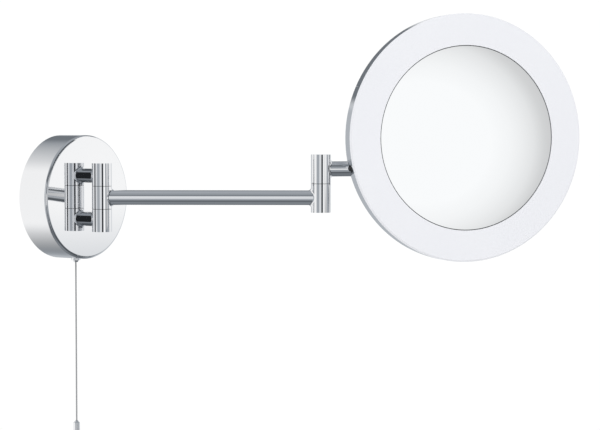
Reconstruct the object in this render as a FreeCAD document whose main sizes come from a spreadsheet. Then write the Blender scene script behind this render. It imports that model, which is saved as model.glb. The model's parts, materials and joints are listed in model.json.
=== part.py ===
"""Wall-held lit shaving mirror on a folding arm, with a pull-cord switch.

World frame: +Z up, the wall is the plane Y = 0 and the room is towards -Y.
The origin is the centre of the rose's back. Lengths are in millimetres.
"""
import FreeCAD, Part

import math
import os
import re

import Sketcher

# Driving dimensions: name, value, meaning.
DIMENSIONS = [
    # Wall rose
    ("rose_radius", 50.0, "outer radius of the drum"),
    ("rose_depth", 28.4, "wall to the drum's front face"),
    ("cover_wall", 1.5, "thickness of the drum's sheet"),
    ("cover_round", 2.2, "rounding of the drum's front edge"),
    ("plate_radius", 46.6, "outer radius of the wall plate's lip"),
    ("plate_lip", 7.0, "height of the wall plate's lip"),
    ("plate_sheet", 1.5, "sheet thickness of the wall plate"),
    ("seal_inner", 46.8, "inner radius of the wall seal"),
    ("seal_outer", 48.3, "outer radius of the wall seal"),
    ("seal_thick", 2.0, "thickness of the wall seal"),
    ("wall_screw_radius", 2.6, "wall-screw hole radius"),
    ("wall_screw_rise", 36.0, "wall-screw hole above and below the centre"),
    ("cable_hole", 8.0, "radius of the plate's cable hole"),
    ("cable_rise", 16.0, "height of the cable hole"),
    ("cable_bore", 5.0, "bore radius of the cable grommet"),
    ("grommet_flange", 10.0, "flange radius of the cable grommet"),
    ("grommet_lip", 2.0, "thickness of the cable grommet's flange"),
    ("lock_screw_radius", 2.0, "radius of the cover's grub screws"),
    ("lock_screw_depth", 4.5, "distance of the grub screws from the wall"),
    ("lock_screw_length", 3.1, "length of the grub screws"),
    ("backing_width", 26.0, "width of the backing plate"),
    ("backing_height", 52.0, "height of the backing plate"),
    ("backing_thick", 3.0, "thickness of the backing plate"),
    ("socket_corner", 1.2, "corner radius of a grub screw's hexagon socket"),
    ("socket_depth", 1.6, "depth of a grub screw's hexagon socket"),
    ("driver_side", 28.0, "middle of the lamp driver, right of the centre"),
    ("driver_width", 22.0, "width of the lamp driver"),
    ("driver_deep", 17.0, "depth of the lamp driver"),
    ("driver_height", 40.0, "height of the lamp driver"),
    ("ear_width", 12.0, "width of the lamp driver's ears"),
    ("ear_height", 50.0, "height over the lamp driver's ears"),
    ("ear_thick", 2.0, "thickness of the lamp driver's ears"),
    ("ear_screw_rise", 22.5, "lamp driver screws above and below the centre"),
    ("small_screw_radius", 1.5, "radius of the lamp driver's screws"),
    ("small_screw_head", 2.4, "head radius of the lamp driver's screws"),
    ("small_head_height", 1.5, "height of the heads of the lamp driver's screws"),
    ("terminal_side", -31.0, "middle of the terminal block, left of the centre"),
    ("terminal_width", 13.0, "width of the terminal block"),
    ("terminal_deep", 14.0, "depth of the terminal block"),
    ("terminal_height", 28.0, "height of the terminal block"),
    ("terminal_pitch", 9.0, "pitch of the terminals"),
    ("terminal_screw_radius", 2.0, "radius of a terminal screw"),
    ("terminal_screw_sink", 4.0, "depth of a terminal screw's hole"),
    ("terminal_screw_length", 3.0, "length of a terminal screw"),
    ("terminal_slot_depth", 1.0, "depth of a terminal screw's slot"),
    ("terminal_slot_width", 0.8, "width of a terminal screw's slot"),
    ("wire_hole_radius", 1.6, "radius of a terminal's wire hole"),
    ("wire_hole_depth", 8.0, "terminal block's front to its wire holes"),
    # Posts and hinge barrel
    ("hinge_gap", 14.7, "drum's face to the hinge axis"),
    ("post_radius", 5.8, "radius of the two posts"),
    ("post_rise", 17.5, "height of a post above or below the centre"),
    ("tail_radius", 4.0, "radius of a post's threaded tail"),
    ("tail_length", 11.4, "length of a post's threaded tail"),
    ("washer_radius", 6.5, "outer radius of the post washers"),
    ("washer_thick", 1.0, "thickness of the post washers"),
    ("nut_corner", 7.5, "corner radius of the post nuts"),
    ("nut_thick", 5.0, "thickness of the post nuts"),
    ("braze", 2.2, "radius of the brazed fillet where a bar meets a barrel"),
    ("barrel_radius", 8.0, "outer radius of both hinge barrels"),
    ("barrel_half", 27.5, "half the height of the wall hinge barrel"),
    ("knuckle_split", 9.4, "height of the upper seam of the wall hinge"),
    ("pin_radius", 4.0, "radius of the hollow hinge pins"),
    ("pin_bore", 2.4, "bore radius of the hollow hinge pins"),
    ("bush_radius", 5.0, "outer radius of the hinge bushes"),
    ("bush_height", 5.5, "height of one hinge bush"),
    ("running_gap", 0.05, "clearance between parts that turn on each other"),
    ("seam_washer", 0.3, "thickness of the friction washers in the seams"),
    ("seam_inset", 0.4, "how far a seam washer stays under the barrel's surface"),
    ("plug_radius", 5.6, "radius of the flush end plugs"),
    ("plug_thick", 2.0, "thickness of the flush end plugs"),
    ("lead_radius", 1.6, "radius of the lead to the lamp"),
    ("lead_hole", 2.2, "radius of the lead's passages"),
    ("lead_outlet", 3.0, "radius of the lead's openings in the turning barrels"),
    ("lead_start", 6.0, "hinge axis to the end of a bar's lead"),
    # Arm and elbow
    ("arm_radius", 5.95, "outer radius of the arm tube"),
    ("tube_bore", 4.6, "bore radius of the arm tube and the mirror rod"),
    ("arm_reach", 176.0, "hinge axis to elbow axis"),
    ("arm_turn", 33.0, "arm's angle from the wall's normal, towards +X, at rest"),
    ("elbow_bottom", 11.8, "lower end of the elbow barrel, below the arm's axis"),
    ("elbow_seam", 11.45, "height of the elbow's seam"),
    ("elbow_top", 34.6, "upper end of the elbow barrel"),
    # Short rod to the head
    ("rod_turn", 19.5, "short rod's angle from the arm's direction at rest"),
    ("rod_radius", 6.15, "radius of the short rod"),
    ("rod_rise", 23.0, "height of the short rod's axis"),
    ("rod_length", 51.2, "elbow axis to the rod's inner end"),
    ("groove_radius", 5.3, "radius of the rod at the friction screw's groove"),
    ("groove_width", 3.2, "width of the friction screw's groove"),
    # Head: its back plane is the rear edge of the rim band
    ("head_reach", 120.8, "elbow axis to the head's centre"),
    ("head_rise", 24.65, "rod axis to the head's centre, upwards"),
    ("rod_behind", 1.7, "rod axis to the head's back plane"),
    ("head_radius", 101.0, "outer radius of the rim band"),
    ("band_depth", 10.9, "depth of the rim band"),
    ("band_sheet", 1.2, "sheet thickness of the rim band"),
    ("band_lip", 5.0, "width of the rim band's rear lip"),
    ("band_round", 0.7, "rounding of the rim band's rear edge"),
    ("seam_gap", 0.3, "gap of the rim band's butt seam"),
    ("seam_angle", 24.2, "butt seam above the left-hand side, degrees"),
    ("notch_radius", 6.5, "radius of the opening for the rod in the rim"),
    ("slot_half", 3.0, "half height of the rim's slot beside the rod"),
    ("slot_end", 6.3, "centre of the slot's round end, in front of the back plane"),
    ("pan_gap", 0.2, "gap between the back pan and the rim band"),
    ("pan_back", 4.6, "back plane of the head to the pan's rear face"),
    ("pan_sheet", 1.0, "sheet thickness of the back pan"),
    ("vent_ring", 52.0, "radius of the ring of vent holes"),
    ("vent_radius", 1.6, "radius of a vent hole"),
    ("block_outer", 87.0, "head's centre to the tilt block's outer end"),
    ("block_inner", 62.0, "head's centre to the tilt block's inner end"),
    ("block_width", 27.0, "height of the tilt block"),
    ("block_back", 8.9, "tilt block's rear face behind the back plane"),
    ("block_round", 1.5, "rounding of the tilt block"),
    ("block_screw_end", 4.5, "tilt block screws from the block's ends"),
    ("block_screw_side", 9.2, "tilt block screws from the rod's axis"),
    ("block_screw_radius", 1.5, "radius of the tilt block screws"),
    ("block_screw_head", 2.5, "head radius of the tilt block screws"),
    ("block_head_sink", 1.6, "height of a tilt block screw's head, let in flush"),
    ("cross_length", 3.4, "length of a cross recess"),
    ("cross_width", 0.7, "width of a cross recess or a slot"),
    ("lead_exit", 5.0, "tilt block's inner end to the hole for the lead"),
    ("friction_at", 80.0, "head's centre to the friction screw"),
    ("friction_sink", 0.3, "how far the friction screw is let in"),
    ("friction_socket", 0.9, "corner radius of the friction screw's socket"),
    ("friction_socket_depth", 0.8, "depth of the friction screw's socket"),
    ("board_outer", 96.0, "outer radius of the lamp board"),
    ("board_inner", 62.0, "inner radius of the lamp board"),
    ("board_thick", 1.2, "thickness of the lamp board"),
    ("led_ring", 88.0, "radius of the ring of light emitters"),
    ("led_width", 3.5, "width of a light emitter"),
    ("led_depth", 2.8, "radial size of a light emitter"),
    ("led_thick", 0.8, "thickness of a light emitter"),
    ("wall_ring_outer", 78.0, "outer radius of the light wall"),
    ("wall_ring_inner", 76.0, "inner radius of the light wall"),
    ("boss_ring", 73.5, "radius of the ring of screw bosses"),
    ("boss_radius", 3.0, "radius of a screw boss"),
    ("pan_screw_radius", 1.2, "radius of the pan screws"),
    ("pan_screw_head", 2.6, "head radius of the pan screws"),
    ("pan_head_height", 1.4, "height of a pan screw's head"),
    ("pan_slot_depth", 1.0, "depth of a pan screw's slot"),
    ("plate_back", 8.4, "back plane of the head to the light ring's rear face"),
    ("plate_front", 12.4, "back plane of the head to the light ring's front face"),
    ("plate_bevel", 1.3, "bevel of the light ring's outer edge"),
    ("plate_fit", 0.15, "clearance of the light ring inside the rim band"),
    ("ledge_inner", 70.0, "inner radius of the ledge under the mirror"),
    ("ledge_front", 9.4, "back plane of the head to the ledge"),
    ("mirror_radius", 75.0, "radius of the round mirror"),
    ("mirror_gap", 0.3, "gap around the mirror"),
    ("mirror_edge", 12.2, "back plane of the head to the mirror's front edge"),
    ("mirror_thick", 2.3, "thickness of the mirror glass"),
    ("mirror_curve", 1000.0, "radius of curvature of the concave mirror"),
    ("pad_radius", 40.0, "radius of the mirror's foam pad"),
    ("pad_front", 7.0, "back plane of the head to the pad's front"),
    # Pull switch
    ("cord_out", 14.85, "wall to the pull cord's axis"),
    ("switch_width", 24.0, "width of the switch housing"),
    ("switch_deep", 15.6, "depth of the switch housing, wall to room"),
    ("switch_wall", 1.5, "wall thickness of the switch housing"),
    ("switch_bottom", -44.0, "height of the switch housing's underside"),
    ("switch_split", -28.5, "height where the switch lid sits"),
    ("stem_radius", 1.3, "radius of the slider's stem"),
    ("stem_hole", 1.5, "bore radius of the switch's bottom and of the nipple"),
    ("stem_end", -43.5, "height of the slider's lower end"),
    ("flange_radius", 3.6, "radius of the slider's flange"),
    ("flange_bottom", -31.0, "height of the underside of the slider's flange"),
    ("flange_thick", 2.2, "thickness of the slider's flange"),
    ("spring_radius", 2.4, "mean coil radius of the return spring"),
    ("spring_wire", 0.3, "wire radius of the return spring"),
    ("spring_turns", 6.0, "turns of the return spring"),
    ("rotor_side", 7.1, "rotor axis from the cord's axis"),
    ("rotor_height", -36.0, "height of the rotor's axis"),
    ("rotor_radius", 3.0, "radius of the switch rotor"),
    ("rotor_length", 8.0, "length of the switch rotor"),
    ("rotor_notch", 0.9, "radius of the rotor's four notches"),
    ("leaf_width", 4.5, "width of a contact leaf"),
    ("leaf_thick", 0.3, "thickness of a contact leaf"),
    ("leaf_rise", 3.8, "contact leaves above and below the rotor's axis"),
    ("pawl_thick", 0.4, "thickness of the slider's pawl"),
    ("pawl_width", 3.0, "width of the slider's pawl"),
    ("pawl_height", 4.0, "height of the slider's pawl"),
    ("axle_radius", 0.8, "radius of the rotor's axle"),
    ("nipple_radius", 3.0, "thread radius of the cord nipple"),
    ("nipple_flange", 3.7, "flange radius of the cord nipple"),
    ("nipple_flange_end", -51.6, "height of the flange's underside"),
    ("nipple_mouth", -53.0, "height of the nipple's mouth"),
    ("nipple_nut_corner", 4.6, "corner radius of the nipple's nut"),
    ("nipple_nut_thick", 1.5, "thickness of the nipple's nut"),
    # Pull cord and its handle
    ("cord_radius", 0.6, "radius of the pull cord"),
    ("pull_top", -182.8, "height of the handle's top"),
    ("pull_length", 36.0, "length of the handle"),
    ("pull_radius", 2.6, "radius of the handle"),
    ("pull_neck", 1.0, "radius of the handle's top"),
    ("pull_cone", 1.8, "length of the handle's cone"),
    ("pull_bore", 1.8, "bore radius of the handle"),
    ("pull_floor", 4.0, "handle's top to its inner shoulder"),
    ("pull_bevel", 0.6, "bevel of the handle's lower edge"),
    ("cord_play", 0.1, "clearance around the cord in the handle's top"),
    ("ferrule_radius", 1.5, "radius of the crimped ferrule"),
    ("ferrule_length", 3.0, "length of the crimped ferrule"),
]

LED_COUNT = 40
VENT_COUNT = 16
BOSS_ANGLES = (45, 135, 225, 315)
LOCK_SCREW_ANGLES = (60, -60)
ROTOR_NOTCH_ANGLES = (45, 135, 225, 315)
SAME = 0.01     # lengths closer than this are the same

ORIGIN = ("0", "0", "0")
UP = FreeCAD.Rotation()
X_AXIS = FreeCAD.Vector(1, 0, 0)
Y_AXIS = FreeCAD.Vector(0, 1, 0)
Z_AXIS = FreeCAD.Vector(0, 0, 1)
OUT = FreeCAD.Rotation(X_AXIS, 90)        # local Z turned to -Y, off the wall
ACROSS = FreeCAD.Rotation(Y_AXIS, 90)     # local Z turned to +X

doc = FreeCAD.newDocument("ShavingMirror")
sheet = doc.addObject("Spreadsheet::Sheet", "Dims")
for row, (name, size, meaning) in enumerate(DIMENSIONS, start=1):
    sheet.set("A%d" % row, name)
    sheet.set("B%d" % row, str(size))
    sheet.set("C%d" % row, meaning)
    sheet.setAlias("B%d" % row, name)
doc.recompute()
NAMES = {name for name, size, meaning in DIMENSIONS}
nodes = {}


def dim(name):
    """The value of one driving dimension."""
    return float(sheet.get(name))


def formula(text):
    """Point the names in a formula at the cells that hold them."""
    def cell(word):
        return "Dims." + word.group() if word.group() in NAMES else word.group()
    return re.sub(r"[a-z]\w*", cell, text)


def bind(item, at, turn, sizes):
    item.Placement = FreeCAD.Placement(FreeCAD.Vector(), turn)
    for size, text in sizes.items():
        item.setExpression(size, formula(text))
    for axis, text in zip("xyz", at):
        if text != "0":
            item.setExpression("Placement.Base." + axis, formula(text))
    return item


def rod(radius, height, at=ORIGIN, turn=UP):
    return bind(doc.addObject("Part::Cylinder", "Rod"), at, turn, {"Radius": radius, "Height": height})


def ball(radius, at):
    return bind(doc.addObject("Part::Sphere", "Ball"), at, UP, {"Radius": radius})


def hexagon(corner, height, at=ORIGIN, turn=UP):
    item = doc.addObject("Part::Prism", "Hexagon")
    item.Polygon = 6
    return bind(item, at, turn, {"Circumradius": corner, "Height": height})


def block(size, centre):
    """A box given by its three sizes and its centre."""
    corner = ["(%s) - (%s) / 2" % pair for pair in zip(centre, size)]
    sizes = dict(zip(("Length", "Width", "Height"), size))
    return bind(doc.addObject("Part::Box", "Block"), corner, UP, sizes)


def fuse(*parts):
    item = doc.addObject("Part::MultiFuse", "Fuse")
    item.Shapes = list(parts)
    return item


def common(*parts):
    item = doc.addObject("Part::MultiCommon", "Common")
    item.Shapes = list(parts)
    return item


def cut(base, *tools):
    """Take each tool away from the base, one after the other."""
    for tool in tools:
        item = doc.addObject("Part::Cut", "Cut")
        item.Base = base
        item.Tool = tool
        base = item
    return base


def group(*parts):
    item = doc.addObject("Part::Compound", "Group")
    item.Links = list(parts)
    return item


def tube(outer, inner, height, at=ORIGIN, turn=UP):
    return cut(rod(outer, height, at, turn), rod(inner, height, at, turn))


def knuckle(outer, inner, bottom, top, at=("0", "0")):
    """An upright tube from one height to another."""
    height = "(%s) - (%s)" % (top, bottom)
    return tube(outer, inner, height, (at[0], at[1], bottom))


def turned(profile, at=ORIGIN, turn=UP):
    """A closed outline of (radius, height) pairs, revolved about local Z."""
    body = doc.addObject("PartDesign::Body", "Turned")
    sketch = body.newObject("Sketcher::SketchObject", "Outline")
    plane = [item for item in body.Origin.OriginFeatures if item.Role == "XZ_Plane"][0]
    sketch.AttachmentSupport = [(plane, "")]
    sketch.MapMode = "FlatFace"
    count = len(profile)
    start = [FreeCAD.Vector(index + 1, index * index, 0) for index in range(count)]
    for index in range(count):
        sketch.addGeometry(Part.LineSegment(start[index], start[(index + 1) % count]))
    for index in range(count):
        sketch.addConstraint(Sketcher.Constraint("Coincident", index, 2, (index + 1) % count, 1))
    for index, point in enumerate(profile):
        for kind, text, guess in zip(("DistanceX", "DistanceY"), point, start[index]):
            number = sketch.addConstraint(Sketcher.Constraint(kind, -1, 1, index, 1, guess))
            sketch.setExpression("Constraints[%d]" % number, formula(text))
    doc.recompute()
    revolution = body.newObject("PartDesign::Revolution", "Revolution")
    revolution.Profile = sketch
    revolution.ReferenceAxis = (sketch, ["V_Axis"])
    revolution.Angle = 360
    body.Tip = revolution
    return bind(body, at, turn, {})


def round_rim(body, radius, height, size):
    """Round the circular edge of a turned body that has this radius and height."""
    doc.recompute()
    base = body.Tip
    edges = []
    for number, edge in enumerate(base.Shape.Edges, start=1):
        if edge.Curve.TypeId != "Part::GeomCircle":
            continue
        if abs(edge.Curve.Radius - radius) < SAME and abs(edge.Curve.Center.z - height) < SAME:
            edges.append("Edge%d" % number)
    rounding = body.newObject("PartDesign::Fillet", "Rounding")
    rounding.Base = (base, edges)
    rounding.setExpression("Radius", formula(size))
    body.Tip = rounding
    return body


def flared(bar, *barrels):
    """A bar coped to the barrels it meets, with the brazed fillet at each joint."""
    merged = fuse(bar, *barrels)
    doc.recompute()
    edges = []
    for number, edge in enumerate(merged.Shape.Edges, start=1):
        if edge.Curve.TypeId == "Part::GeomBSplineCurve":
            edges.append((number, dim("braze"), dim("braze")))
    fillet = doc.addObject("Part::Fillet", "Braze")
    fillet.Base = merged
    fillet.Edges = edges
    return cut(fillet, *barrels)


def spot(radius, angle):
    """A point on a circle about the local Z axis, as two formulas."""
    turn = math.radians(angle)
    return "%s * %.9f" % (radius, math.cos(turn)), "%s * %.9f" % (radius, math.sin(turn))


def node(name, item, frame=None):
    """Name a finished sub-part, and put it in its body's frame."""
    if frame is not None:
        item = group(item)
        item.Placement = frame
    item.Label = name
    nodes[name] = item


def direction(angle):
    """A level direction, by its angle from the wall's outward normal towards +X."""
    turn = math.radians(angle)
    return FreeCAD.Vector(math.sin(turn), -math.cos(turn), 0)


# Frames of the moving groups. Arm and link: local X runs along the bar, and local Z is up.
# Head: local X runs on along the rod, local Y is up and local Z is the mirror's outward normal.
rod_angle = dim("arm_turn") + dim("rod_turn")
along_arm = direction(dim("arm_turn"))
along_rod = direction(rod_angle)
facing = direction(rod_angle - 90)
hinge_axis = FreeCAD.Vector(0, -dim("rose_depth") - dim("hinge_gap"), 0)
elbow_axis = hinge_axis + along_arm * dim("arm_reach")
head_centre = elbow_axis + along_rod * dim("head_reach") + facing * dim("rod_behind")
head_centre.z = dim("rod_rise") + dim("head_rise")
ARM = FreeCAD.Placement(hinge_axis, FreeCAD.Rotation(Z_AXIS, dim("arm_turn") - 90))
LINK = FreeCAD.Placement(elbow_axis, FreeCAD.Rotation(Z_AXIS, rod_angle - 90))
HEAD = FreeCAD.Placement(head_centre, LINK.Rotation.multiply(OUT))
HINGE = ("0", "-rose_depth - hinge_gap")
LEAD_EXIT = ("-block_inner - lead_exit", "-head_rise")


def make_wall_plate():
    profile = [
        ("0", "0"),
        ("plate_radius", "0"),
        ("plate_radius", "plate_lip"),
        ("plate_radius - plate_sheet", "plate_lip"),
        ("plate_radius - plate_sheet", "plate_sheet"),
        ("0", "plate_sheet"),
    ]
    holes = [rod("cable_hole", "plate_sheet", ("0", "0", "cable_rise"), OUT)]
    for height in ("wall_screw_rise", "-wall_screw_rise"):
        holes.append(rod("wall_screw_radius", "plate_sheet", ("0", "0", height), OUT))
    node("wall_plate", cut(turned(profile, turn=OUT), *holes))
    node("wall_seal", tube("seal_outer", "seal_inner", "seal_thick", turn=OUT))
    grommet = [
        ("cable_bore", "0"),
        ("cable_hole", "0"),
        ("cable_hole", "plate_sheet"),
        ("grommet_flange", "plate_sheet"),
        ("grommet_flange", "plate_sheet + grommet_lip"),
        ("cable_bore", "plate_sheet + grommet_lip"),
    ]
    node("cable_grommet", turned(grommet, ("0", "0", "cable_rise"), OUT))


def outwards(angle):
    """Local Z turned radially outwards, along the wall."""
    turn = math.radians(angle)
    return FreeCAD.Rotation(Z_AXIS, FreeCAD.Vector(math.cos(turn), 0, math.sin(turn)))


def lock_screw(angle, radius, length):
    """A radial cylinder through the drum's side, against the wall plate's lip."""
    x, z = spot("plate_radius", angle)
    return rod(radius, length, (x, "-lock_screw_depth", z), outwards(angle))


def socket(angle):
    """The hexagon socket of a cover screw."""
    x, z = spot("(plate_radius + lock_screw_length - socket_depth)", angle)
    return hexagon("socket_corner", "socket_depth + 0.1", (x, "-lock_screw_depth", z), outwards(angle))


def make_rose_cover():
    profile = [
        ("rose_radius - cover_wall", "0"),
        ("rose_radius", "0"),
        ("rose_radius", "rose_depth"),
        ("0", "rose_depth"),
        ("0", "rose_depth - cover_wall"),
        ("rose_radius - cover_wall", "rose_depth - cover_wall"),
    ]
    shell = turned(profile, turn=OUT)
    round_rim(shell, dim("rose_radius"), dim("rose_depth"), "cover_round")
    nipple_at = ("0", "-cord_out", "-rose_radius - cover_wall")
    holes = [rod("nipple_radius + running_gap", "cover_wall * 5", nipple_at)]
    for height in ("post_rise", "-post_rise"):
        at = ("0", "-rose_depth + cover_wall * 2", height)
        holes.append(rod("tail_radius + running_gap", "cover_wall * 4", at, OUT))
    for angle in LOCK_SCREW_ANGLES:
        holes.append(lock_screw(angle, "lock_screw_radius + running_gap", "lock_screw_length * 2"))
    node("rose_cover", cut(shell, *holes))
    screws = []
    for angle in LOCK_SCREW_ANGLES:
        screws.append(cut(lock_screw(angle, "lock_screw_radius", "lock_screw_length"), socket(angle)))
    node("cover_screws", group(*screws))


def make_backing_plate():
    middle = "-rose_depth + cover_wall + backing_thick / 2"
    plate = block(("backing_width", "backing_thick", "backing_height"), ("0", middle, "0"))
    holes = []
    for height in ("post_rise", "-post_rise"):
        at = ("0", "-rose_depth + cover_wall + backing_thick", height)
        holes.append(rod("tail_radius + running_gap", "backing_thick", at, OUT))
    node("backing_plate", cut(plate, *holes))


def make_post(name, height):
    bar = rod("post_radius", "hinge_gap", ("0", "-rose_depth", height), OUT)
    barrel = rod("barrel_radius", "barrel_half", HINGE + ("%s - barrel_half / 2" % height,))
    tail = rod("tail_radius", "tail_length", ("0", "-rose_depth + tail_length", height), OUT)
    bore = rod("lead_hole", "tail_length + hinge_gap", ("0", "-rose_depth + tail_length", height), OUT)
    node(name, cut(fuse(flared(bar, barrel), tail), bore))


def make_post_fixings():
    washers = []
    nuts = []
    behind_plate = "-rose_depth + cover_wall + backing_thick"
    for height in ("post_rise", "-post_rise"):
        at = ("0", behind_plate + " + washer_thick", height)
        washers.append(tube("washer_radius", "tail_radius + running_gap", "washer_thick", at, OUT))
        at = ("0", behind_plate + " + washer_thick + nut_thick", height)
        nut = hexagon("nut_corner", "nut_thick", at, OUT)
        nuts.append(cut(nut, rod("tail_radius", "nut_thick", at, OUT)))
    node("post_washers", group(*washers))
    node("post_nuts", group(*nuts))


def make_wall_hinge():
    lead_way = ("0", "-rose_depth")
    upper = cut(
        knuckle("barrel_radius", "pin_radius", "knuckle_split", "barrel_half", HINGE),
        rod("plug_radius", "plug_thick", HINGE + ("barrel_half - plug_thick",)),
        rod("lead_hole", "hinge_gap", lead_way + ("post_rise",), OUT),
    )
    lower = cut(
        knuckle("barrel_radius", "pin_radius", "-barrel_half", "-knuckle_split", HINGE),
        rod("plug_radius", "plug_thick", HINGE + ("-barrel_half",)),
        rod("lead_hole", "hinge_gap", lead_way + ("-post_rise",), OUT),
    )
    node("upper_knuckle", upper)
    node("lower_knuckle", lower)
    pin_top = "barrel_half - plug_thick"
    window_size = ("pin_radius * 2", "pin_radius", "pin_radius * 1.25")
    window = block(window_size, ("0", "-rose_depth - hinge_gap - pin_radius / 2", "0"))
    pin = cut(
        knuckle("pin_radius", "pin_bore", "-(%s)" % pin_top, pin_top, HINGE),
        rod("lead_hole", "hinge_gap", lead_way + ("-post_rise",), OUT),
        window,
    )
    node("hinge_pin", pin)
    plugs = []
    for height in ("barrel_half - plug_thick", "-barrel_half"):
        plugs.append(rod("plug_radius", "plug_thick", HINGE + (height,)))
    node("hinge_end_plugs", group(*plugs))
    washers = []
    for height in ("knuckle_split - seam_washer", "-knuckle_split"):
        at = HINGE + (height,)
        washers.append(tube("barrel_radius - seam_inset", "pin_radius", "seam_washer", at))
    node("hinge_washers", group(*washers))
    lead = fuse(
        rod("lead_radius", "rose_depth + hinge_gap - cord_out", ("0", "-cord_out", "-post_rise"), OUT),
        rod("lead_radius", "post_rise", HINGE + ("-post_rise",)),
    )
    node("post_lead", lead)


def make_driver():
    case_at = ("driver_side", "-plate_sheet - driver_deep / 2", "0")
    case = block(("driver_width", "driver_deep", "driver_height"), case_at)
    ears_at = ("driver_side", "-plate_sheet - ear_thick / 2", "0")
    ears = block(("ear_width", "ear_thick", "ear_height"), ears_at)
    holes = []
    screws = []
    for height in ("ear_screw_rise", "-ear_screw_rise"):
        at = ("driver_side", "-plate_sheet", height)
        holes.append(rod("small_screw_radius", "ear_thick", at, OUT))
        head_at = ("driver_side", "-plate_sheet - ear_thick", height)
        head = rod("small_screw_head", "small_head_height", head_at, OUT)
        screws.append(fuse(rod("small_screw_radius", "ear_thick", at, OUT), head))
    node("led_driver", cut(fuse(case, ears), *holes))
    node("driver_screws", group(*screws))


def make_terminals():
    front = "-plate_sheet - terminal_deep"
    holes = []
    screws = []
    for height in ("-terminal_pitch", "0", "terminal_pitch"):
        screw_at = ("terminal_side", front + " + terminal_screw_sink", height)
        holes.append(rod("terminal_screw_radius", "terminal_screw_sink", screw_at, OUT))
        wire_at = ("terminal_side - terminal_width / 2", front + " + wire_hole_depth", height)
        holes.append(rod("wire_hole_radius", "terminal_width", wire_at, ACROSS))
        slot_size = ("terminal_screw_radius * 2", "terminal_slot_depth", "terminal_slot_width")
        sunk = "terminal_screw_sink - terminal_screw_length"
        slot_at = ("terminal_side", front + " + %s + terminal_slot_depth / 2" % sunk, height)
        screw = rod("terminal_screw_radius", "terminal_screw_length", screw_at, OUT)
        screws.append(cut(screw, block(slot_size, slot_at)))
    middle = ("terminal_side", "-plate_sheet - terminal_deep / 2", "0")
    body = block(("terminal_width", "terminal_deep", "terminal_height"), middle)
    node("terminal_block", cut(body, *holes))
    node("terminal_screws", group(*screws))


def make_switch():
    height = "switch_split - switch_bottom"
    middle = "(switch_split + switch_bottom) / 2"
    case = block(("switch_width", "switch_deep", height), ("0", "-cord_out", middle))
    inner = ("switch_width - switch_wall * 2", "switch_deep - switch_wall * 2", height)
    hollow = block(inner, ("0", "-cord_out", middle + " + switch_wall"))
    hole = rod("stem_hole", "switch_wall", ("0", "-cord_out", "switch_bottom"))
    node("switch_housing", cut(case, hollow, hole))
    lid_at = ("0", "-cord_out", "switch_split + switch_wall / 2")
    node("switch_lid", block(("switch_width", "switch_deep", "switch_wall"), lid_at))
    nipple = [
        ("stem_hole", "nipple_mouth"),
        ("nipple_flange * 0.52", "nipple_mouth"),
        ("nipple_flange * 0.66", "nipple_flange_end"),
        ("nipple_flange", "nipple_flange_end"),
        ("nipple_flange", "-rose_radius"),
        ("nipple_radius", "-rose_radius"),
        ("nipple_radius", "switch_bottom"),
        ("stem_hole", "switch_bottom"),
    ]
    node("switch_nipple", turned(nipple, ("0", "-cord_out", "0")))
    nut_at = ("0", "-cord_out", "-rose_radius + cover_wall + 0.3")
    nut = hexagon("nipple_nut_corner", "nipple_nut_thick", nut_at)
    node("nipple_nut", cut(nut, rod("nipple_radius", "nipple_nut_thick", nut_at)))
    axle_at = ("rotor_side", "-cord_out + switch_deep / 2 - switch_wall", "rotor_height")
    node("rotor_axle", rod("axle_radius", "switch_deep - switch_wall * 2", axle_at, OUT))
    leaves = []
    for height in ("rotor_height + leaf_rise", "rotor_height - leaf_rise"):
        leaf_at = ("rotor_side + 0.4", "-cord_out", height)
        leaves.append(block(("leaf_width", "rotor_length", "leaf_thick"), leaf_at))
    node("contact_leaves", group(*leaves))


def make_rotor():
    at = ("rotor_side", "-cord_out + rotor_length / 2", "rotor_height")
    tools = [rod("axle_radius + running_gap", "rotor_length", at, OUT)]
    for angle in ROTOR_NOTCH_ANGLES:
        x, z = spot("rotor_radius", angle)
        notch = ("rotor_side + " + x, at[1], "rotor_height + " + z)
        tools.append(rod("rotor_notch", "rotor_length", notch, OUT))
    node("switch_rotor", cut(rod("rotor_radius", "rotor_length", at, OUT), *tools))


def make_slider():
    flange = rod("flange_radius", "flange_thick", ("0", "-cord_out", "flange_bottom"))
    stem = rod("stem_radius", "flange_bottom - stem_end", ("0", "-cord_out", "stem_end"))
    pawl_at = ("flange_radius", "-cord_out", "flange_bottom - pawl_height / 4")
    pawl = block(("pawl_thick", "pawl_width", "pawl_height"), pawl_at)
    node("switch_slider", fuse(flange, stem, pawl))
    bottom = "switch_bottom + switch_wall + spring_wire"
    helix = doc.addObject("Part::Helix", "SpringPath")
    height = "flange_bottom - switch_bottom - switch_wall - spring_wire * 2"
    sizes = {"Radius": "spring_radius", "Height": height, "Pitch": "(%s) / spring_turns" % height}
    bind(helix, ("0", "-cord_out", bottom), UP, sizes)
    wire = doc.addObject("Part::Circle", "SpringWire")
    bind(wire, ("spring_radius", "-cord_out", bottom), OUT, {"Radius": "spring_wire"})
    doc.recompute()
    coil = doc.addObject("Part::Sweep", "Spring")
    coil.Sections = [wire]
    coil.Spine = (helix, [])
    coil.Solid = True
    coil.Frenet = True
    node("return_spring", coil)


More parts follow.
